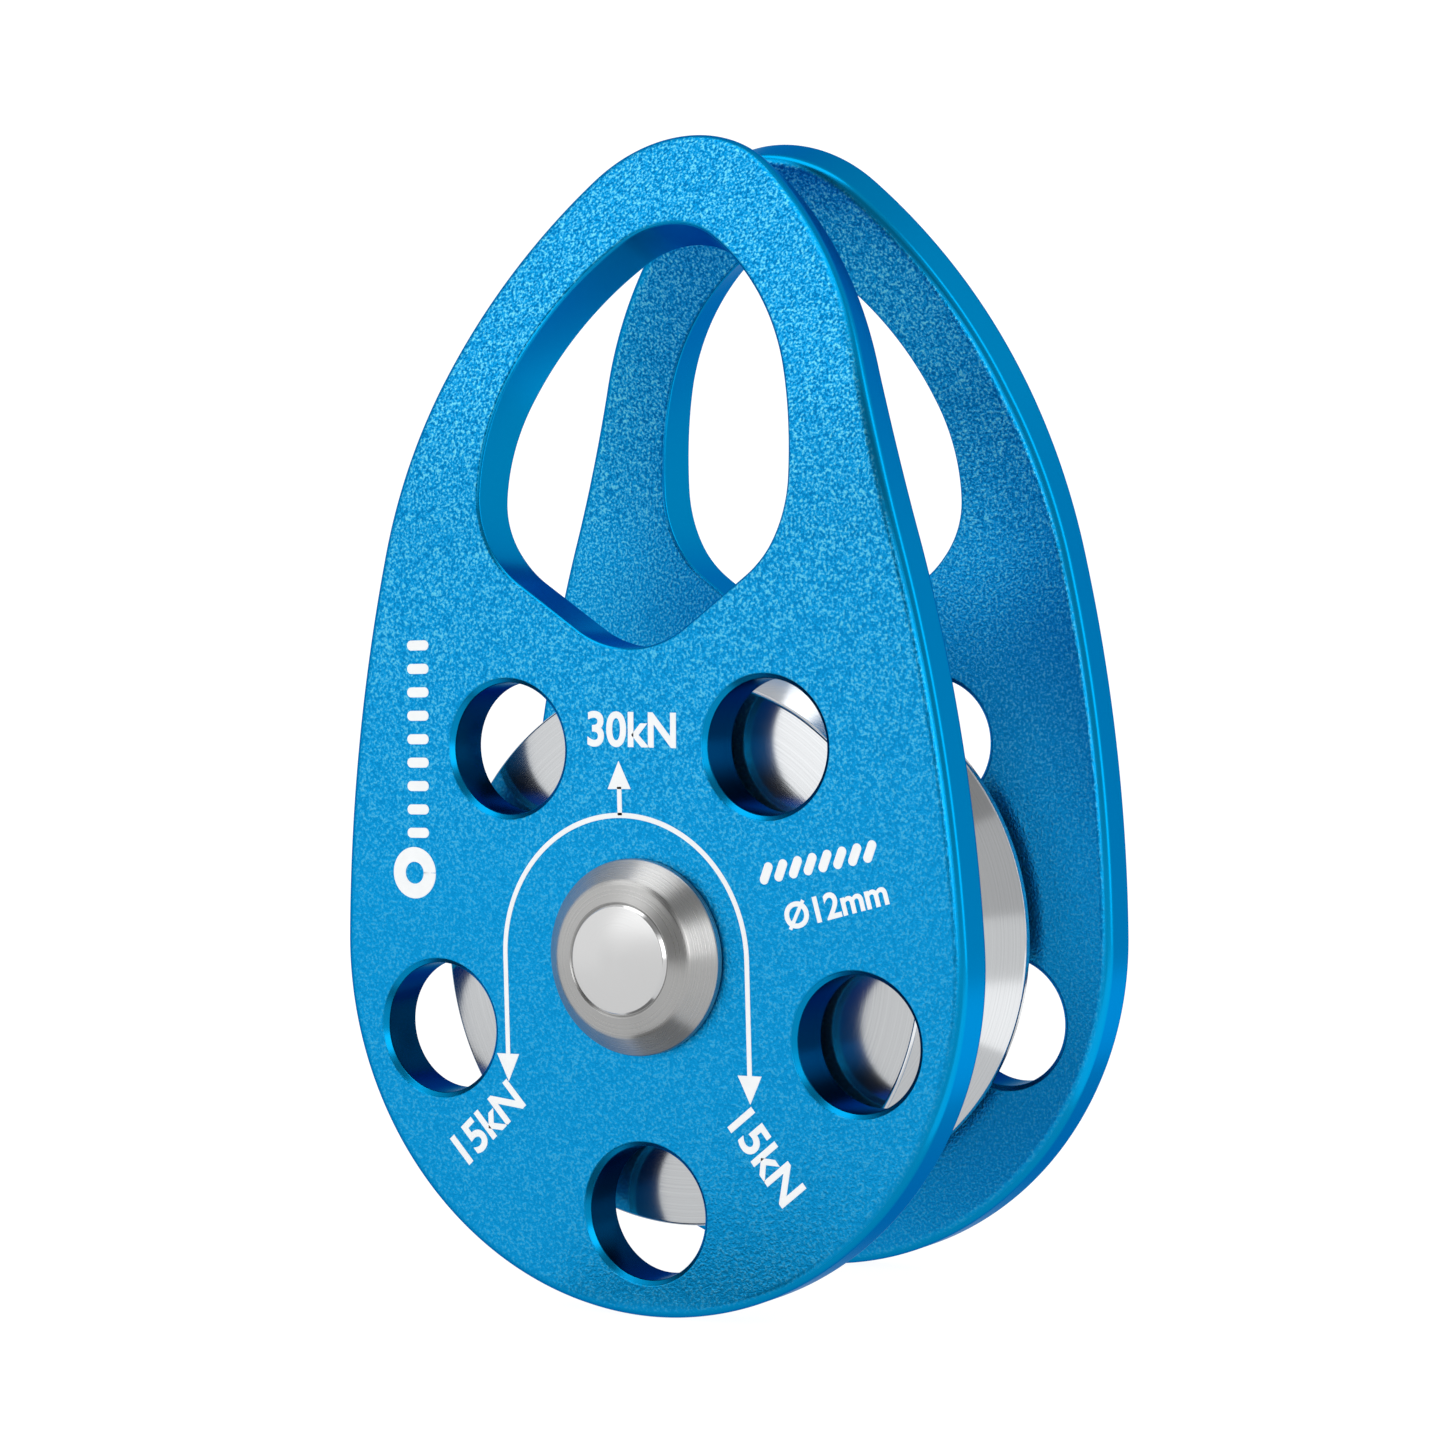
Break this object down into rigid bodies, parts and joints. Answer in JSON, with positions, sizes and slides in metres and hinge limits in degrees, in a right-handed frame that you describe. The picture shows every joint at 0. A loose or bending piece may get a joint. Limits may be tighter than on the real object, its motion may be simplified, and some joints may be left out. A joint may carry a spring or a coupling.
{
  "type": "rope pulley",
  "caption": "Rope pulley: two blue side plates with a shared carabiner eye swing on a steel axle, around a grooved aluminium sheave on sealed ball bearings.",
  "frame": {"origin": "centre of the sheave, on the axle's centre line, midway between the side plates", "axes": "+Y along the axle from the front plate to the rear plate; +Z from the axle up to the carabiner eye; +X to the right seen from the front"},
  "size_m": [0.0648, 0.042, 0.1069],
  "materials": {
    "plate": "bead-blasted and blue anodised",
    "stainless": "turned stainless steel",
    "sheave": "fine turned, bare",
    "bush": "sintered bronze, smooth",
    "washer": "natural acetal",
    "spacer": "turned, bare",
    "spring_steel": "black phosphated spring steel",
    "bearing_steel": "ground and polished bearing steel",
    "cage": "moulded polyamide",
    "seal": "moulded nitrile rubber"
  },
  "bodies": {
    "front_side": {"front_side_plate": "plate", "front_plate_bush": "bush"},
    "axle": {"axle_pin": "stainless", "middle_spacer": "spacer", "front_collar": "stainless", "front_thrust_washer": "washer", "front_bearing_spacer": "spacer", "front_bearing_inner_race": "bearing_steel", "rear_collar": "stainless", "rear_thrust_washer": "washer", "rear_bearing_spacer": "spacer", "rear_bearing_inner_race": "bearing_steel"},
    "rear_side": {"rear_side_plate": "plate", "rear_plate_bush": "bush"},
    "sheave": {"sheave": "sheave", "front_retaining_ring": "spring_steel", "front_bearing_outer_race": "bearing_steel", "front_bearing_outboard_seal": "seal", "front_bearing_inboard_seal": "seal", "rear_retaining_ring": "spring_steel", "rear_bearing_outer_race": "bearing_steel", "rear_bearing_outboard_seal": "seal", "rear_bearing_inboard_seal": "seal"},
    "front_cage": {"front_bearing_cage": "cage", "front_bearing_balls": "bearing_steel"},
    "rear_cage": {"rear_bearing_cage": "cage", "rear_bearing_balls": "bearing_steel"}
  },
  "joints": [
    {"name": "front_plate_swing", "type": "hinge", "parent": "front_side", "child": "axle", "pos_m": [0, 0, 0], "axis": [0, 1, 0], "continuous": true},
    {"name": "rear_plate_swing", "type": "hinge", "parent": "axle", "child": "rear_side", "pos_m": [0, 0, 0], "axis": [0, 1, 0], "continuous": true},
    {"name": "sheave_spin", "type": "hinge", "parent": "axle", "child": "sheave", "pos_m": [0, 0, 0], "axis": [0, 1, 0], "continuous": true},
    {"name": "front_cage_spin", "type": "hinge", "parent": "axle", "child": "front_cage", "pos_m": [0, 0, 0], "axis": [0, 1, 0], "continuous": true},
    {"name": "rear_cage_spin", "type": "hinge", "parent": "axle", "child": "rear_cage", "pos_m": [0, 0, 0], "axis": [0, 1, 0], "continuous": true}
  ],
  "couplings": [
    {"joint": "front_cage_spin", "follows": "sheave_spin", "ratio": 0.63228},
    {"joint": "rear_cage_spin", "follows": "sheave_spin", "ratio": 0.63228}
  ]
}
